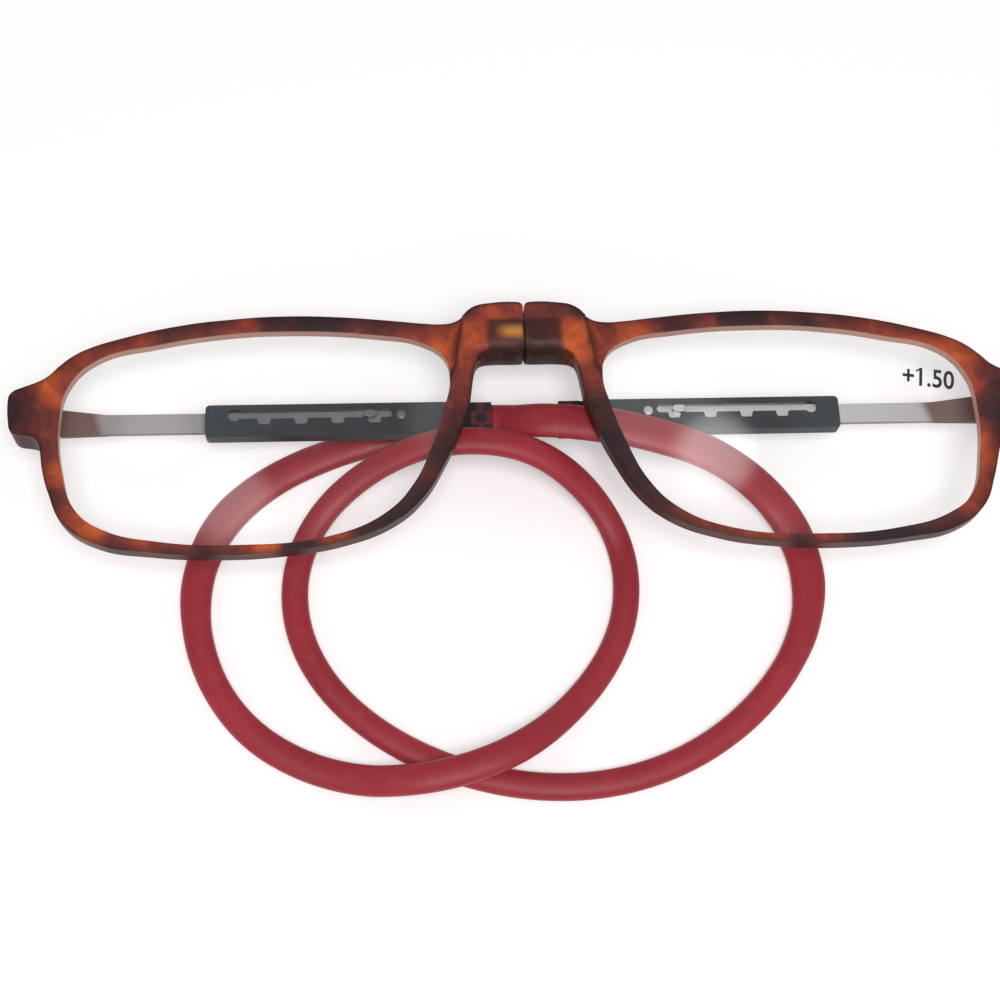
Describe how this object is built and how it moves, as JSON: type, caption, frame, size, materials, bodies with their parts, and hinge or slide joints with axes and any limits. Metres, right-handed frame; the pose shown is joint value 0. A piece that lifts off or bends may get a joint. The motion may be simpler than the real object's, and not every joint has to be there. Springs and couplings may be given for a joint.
{
  "type": "magnetic bridge reading glasses",
  "caption": "Reading glasses whose bridge parts at a magnet, with sliding temples, hinged front halves and a looped silicone neckband, folded flat.",
  "frame": {"origin": "centre of the folded glasses' box without the neckband, on the seam between the bridge halves", "axes": "+X from the seam to the right-hand half as seen from the front, +Y up the face, +Z out of the front of the lenses"},
  "size_m": [0.138, 0.0666, 0.0121],
  "materials": {
    "tortoise_rim": "polished translucent brown and red tortoise plastic",
    "clear_lens": "clear polished reading lens",
    "nickel_magnet": "nickel-plated magnet",
    "hinge_steel": "plain steel",
    "temple_steel": "satin spring steel",
    "bright_steel": "bright turned steel",
    "sleeve_graphite": "satin graphite",
    "plug_black": "matte black",
    "band_raspberry": "matte raspberry silicone"
  },
  "bodies": {
    "neckband": {"neckband": "band_raspberry", "temple_sleeve_left": "sleeve_graphite", "temple_sleeve_right": "sleeve_graphite", "sleeve_rivet_left": "bright_steel", "sleeve_rivet_right": "bright_steel", "band_plug_left": "plug_black", "band_plug_right": "plug_black", "band_cuff_left": "band_raspberry", "band_cuff_right": "band_raspberry"},
    "temple_left": {"temple_strip_left": "temple_steel", "detent_stud_left": "bright_steel"},
    "front_left": {"front_rim_left": "tortoise_rim", "lens_left": "clear_lens", "magnet_left": "nickel_magnet", "front_hinge_leaf_left": "hinge_steel", "hinge_screw_left": "hinge_steel"},
    "temple_right": {"temple_strip_right": "temple_steel", "detent_stud_right": "bright_steel"},
    "front_right": {"front_rim_right": "tortoise_rim", "lens_right": "clear_lens", "magnet_right": "nickel_magnet", "front_hinge_leaf_right": "hinge_steel", "hinge_screw_right": "hinge_steel"}
  },
  "joints": [
    {"name": "temple_slide_left", "type": "slide", "parent": "neckband", "child": "temple_left", "axis": [-1, 0, 0], "range_m": [0, 0.018]},
    {"name": "front_hinge_left", "type": "hinge", "parent": "temple_left", "child": "front_left", "pos_m": [-0.0655, 0.0032, -0.0023], "axis": [0, -1, 0], "range_deg": [0, 92]},
    {"name": "temple_slide_right", "type": "slide", "parent": "neckband", "child": "temple_right", "axis": [1, 0, 0], "range_m": [0, 0.018]},
    {"name": "front_hinge_right", "type": "hinge", "parent": "temple_right", "child": "front_right", "pos_m": [0.0655, 0.0032, -0.0023], "axis": [0, 1, 0], "range_deg": [0, 92]}
  ]
}
